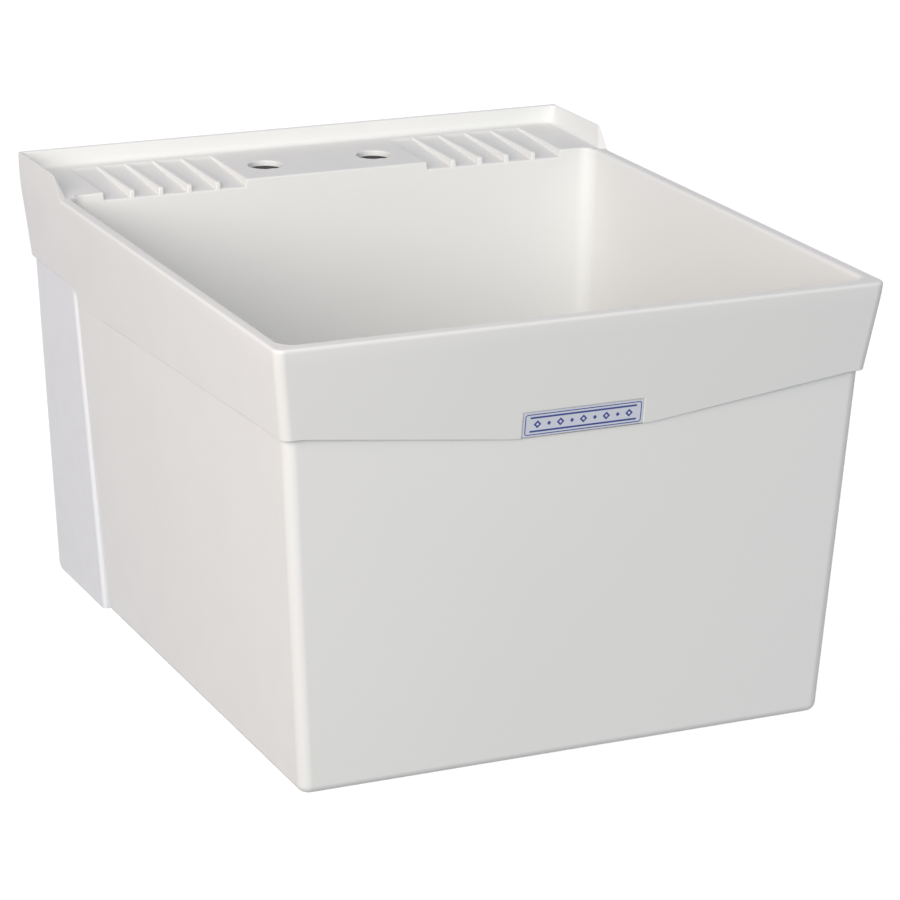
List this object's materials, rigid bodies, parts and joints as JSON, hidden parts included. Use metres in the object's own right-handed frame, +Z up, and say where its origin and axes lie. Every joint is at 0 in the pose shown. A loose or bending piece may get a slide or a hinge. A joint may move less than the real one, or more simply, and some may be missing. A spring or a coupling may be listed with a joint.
{
  "type": "utility laundry sink",
  "caption": "Wall-hung moulded laundry sink: deep tapered tub with apron, ribbed rear deck with faucet holes, low backsplash, steel wall brackets, drain and lift-out stopper.",
  "frame": {"origin": "middle of the wall rail's back face, where the sink is fastened to the wall", "axes": "+Z up, +Y into the wall, so the sink's front faces -Y; +X to the right seen from the front"},
  "size_m": [0.508, 0.594, 0.4296],
  "materials": {
    "white_moulding": "white glass-filled moulding, satin gloss",
    "label_foil": "printed film, pale with dark blue lines",
    "coated_steel": "white powder coat, slightly cool",
    "zinc_steel": "zinc plated",
    "polished_steel": "polished stainless steel",
    "brass": "plain cast brass",
    "black_rubber": "matt black rubber",
    "grey_fibre": "grey pressed fibre",
    "white_plastic": "white moulded nut"
  },
  "bodies": {
    "sink": {"tub_shell": "white_moulding", "nameplate": "label_foil", "left_wall_bracket": "coated_steel", "right_wall_bracket": "coated_steel", "wall_rail": "zinc_steel", "left_bracket_rear_screw": "zinc_steel", "left_bracket_rear_washer": "zinc_steel", "left_bracket_front_screw": "zinc_steel", "left_bracket_front_washer": "zinc_steel", "left_rail_screw": "zinc_steel", "left_rail_washer": "zinc_steel", "right_bracket_rear_screw": "zinc_steel", "right_bracket_rear_washer": "zinc_steel", "right_bracket_front_screw": "zinc_steel", "right_bracket_front_washer": "zinc_steel", "right_rail_screw": "zinc_steel", "right_rail_washer": "zinc_steel", "drain_body": "polished_steel", "drain_flange_gasket": "grey_fibre", "drain_rubber_washer": "black_rubber", "drain_friction_ring": "grey_fibre", "drain_lock_nut": "brass", "strainer_plate": "polished_steel", "strainer_screw": "polished_steel", "coupling_washer": "black_rubber", "coupling_nut": "white_plastic"},
    "stopper": {"rubber_stopper": "black_rubber"},
    "pull_ring": {"stopper_pull_ring": "polished_steel"}
  },
  "joints": [
    {"name": "stopper_lift", "type": "slide", "parent": "sink", "child": "stopper", "axis": [0, 0, 1], "range_m": [0, 0.41]},
    {"name": "pull_ring_swing", "type": "hinge", "parent": "stopper", "child": "pull_ring", "pos_m": [0, -0.34625, -0.3108], "axis": [-1, 0, 0], "range_deg": [0, 153.7]}
  ]
}
